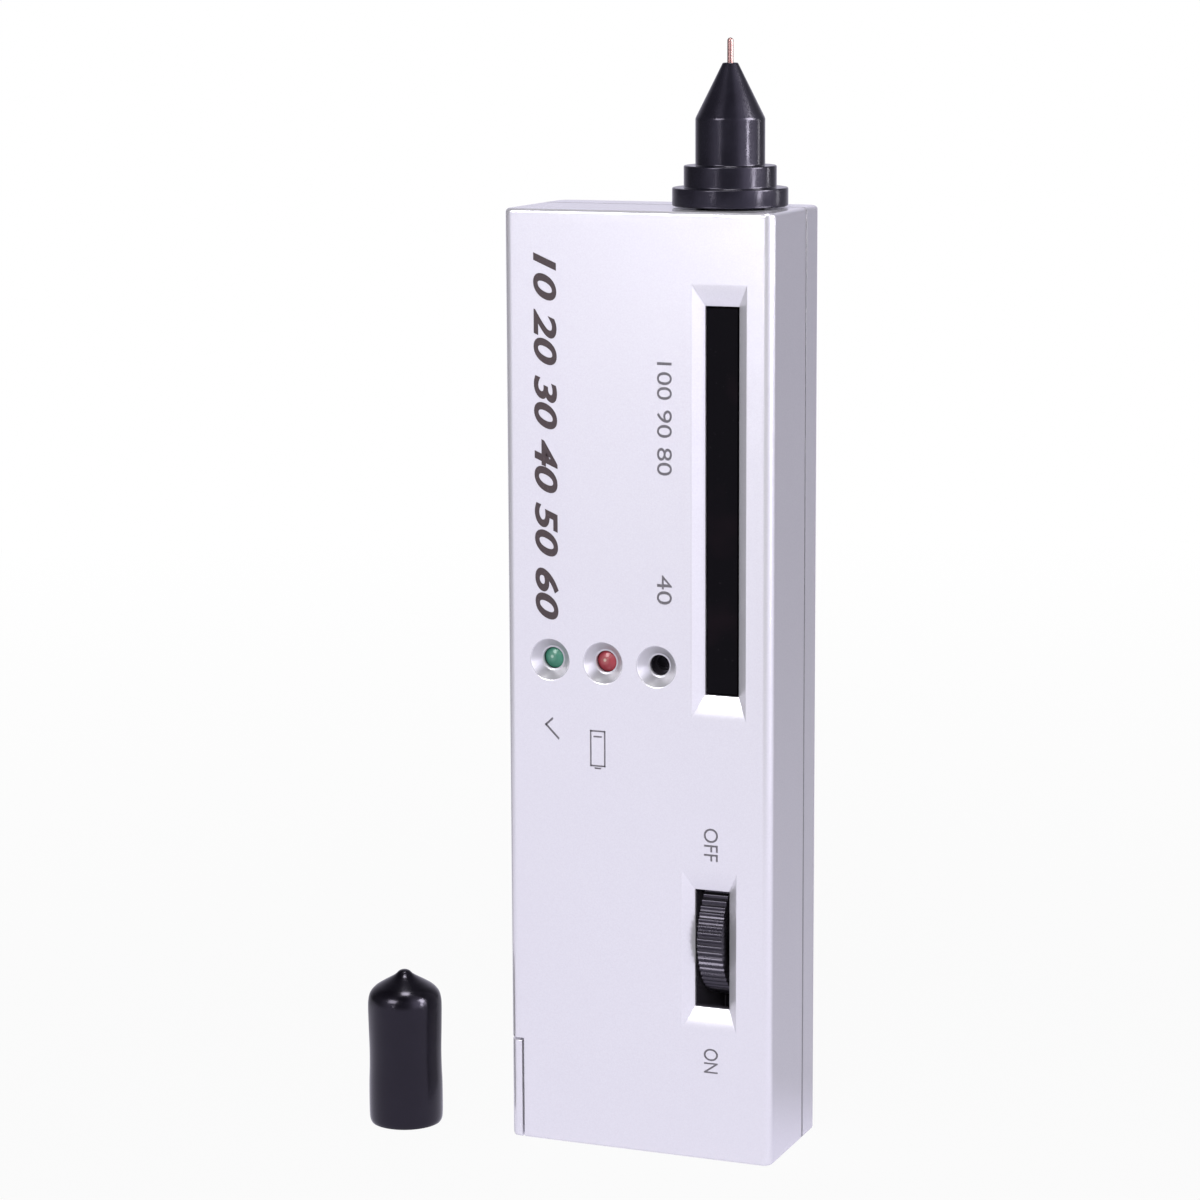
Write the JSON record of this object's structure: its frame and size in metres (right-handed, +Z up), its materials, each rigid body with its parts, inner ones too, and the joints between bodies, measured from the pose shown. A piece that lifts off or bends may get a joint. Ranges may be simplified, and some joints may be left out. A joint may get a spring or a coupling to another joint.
{
  "type": "diamond tester",
  "caption": "Handheld gemstone tester with a spring-loaded copper probe in a stepped nose, a level window, two lamps, an on/off wheel, a battery door and a push-on nose cap.",
  "frame": {"origin": "centre of the casing's bottom end, which the tester stands on", "axes": "+Z up along the casing towards the probe, -Y out of the front face, +X to the right as seen from the front"},
  "size_m": [0.066, 0.0265, 0.1663],
  "materials": {
    "casing": "silver-white satin",
    "nose_black": "satin moulded",
    "wheel_black": "moulded",
    "cap_vinyl": "glossy dip moulding",
    "window": "polished, smoked",
    "green_lens": "clear tinted",
    "red_lens": "clear tinted",
    "copper": "turned copper",
    "brass": "turned",
    "steel": "bright zinc",
    "board": "solder mask",
    "chip": "moulded epoxy",
    "capacitor_sleeve": "shrink sleeve",
    "trimmer_body": "moulded",
    "potentiometer_body": "moulded",
    "nylon": "natural",
    "ceramic": "unglazed",
    "battery_skin": "painted can",
    "red_wire": "insulation",
    "black_wire": "insulation",
    "white_wire": "insulation"
  },
  "bodies": {
    "casing": {"front_shell": "casing", "rear_shell": "casing", "display_window": "window", "ready_led": "green_lens", "low_battery_led": "red_lens", "level_led_1": "red_lens", "level_led_2": "red_lens", "level_led_3": "red_lens", "level_led_4": "red_lens", "level_led_5": "red_lens", "level_led_6": "red_lens", "level_led_7": "red_lens", "level_led_8": "red_lens", "level_led_9": "red_lens", "level_led_10": "red_lens", "level_led_11": "red_lens", "level_led_12": "red_lens", "main_board": "board", "buzzer": "wheel_black", "bar_driver_1": "chip", "bar_driver_2": "chip", "op_amp": "chip", "capacitor_1": "capacitor_sleeve", "capacitor_2": "capacitor_sleeve", "trimmer": "trimmer_body", "case_screw_1": "steel", "case_screw_2": "steel", "case_screw_3": "steel", "case_screw_4": "steel", "board_screw_1": "steel", "board_screw_2": "steel", "board_screw_3": "steel", "board_screw_4": "steel", "potentiometer": "potentiometer_body", "wheel_board": "board", "wheel_wire_1": "white_wire", "wheel_wire_2": "white_wire", "wheel_wire_3": "white_wire", "nose_cone": "nose_black", "nose_nut": "wheel_black", "tip_guide": "brass", "nose_plug": "nylon", "probe_spring": "steel", "probe_wire_1": "red_wire", "probe_wire_2": "white_wire", "battery": "battery_skin", "battery_snap": "wheel_black", "battery_wire_red": "red_wire", "battery_wire_black": "black_wire"},
    "wheel": {"thumbwheel": "wheel_black", "wheel_rotor": "nylon", "wheel_screw": "steel"},
    "probe": {"probe_tip": "copper", "probe_heater": "ceramic"},
    "door": {"battery_door": "casing"},
    "cap": {"protective_cap": "cap_vinyl"}
  },
  "joints": [
    {"name": "wheel_turn", "type": "hinge", "parent": "casing", "child": "wheel", "pos_m": [0.0113, -0.0011, 0.0333], "axis": [1, 0, 0], "range_deg": [0, 270]},
    {"name": "probe_press", "type": "slide", "parent": "casing", "child": "probe", "axis": [0, 0, -1], "range_m": [0, 0.0015], "stiffness_N_per_m": 300, "springref_m": -0.001, "deforming": ["probe_spring"]},
    {"name": "door_slide", "type": "slide", "parent": "casing", "child": "door", "axis": [0, 0, -1], "range_m": [0, 0.016]},
    {"name": "cap_lift", "type": "slide", "parent": "casing", "child": "cap", "axis": [0, 0, 1], "range_m": [0, 0.035]}
  ]
}
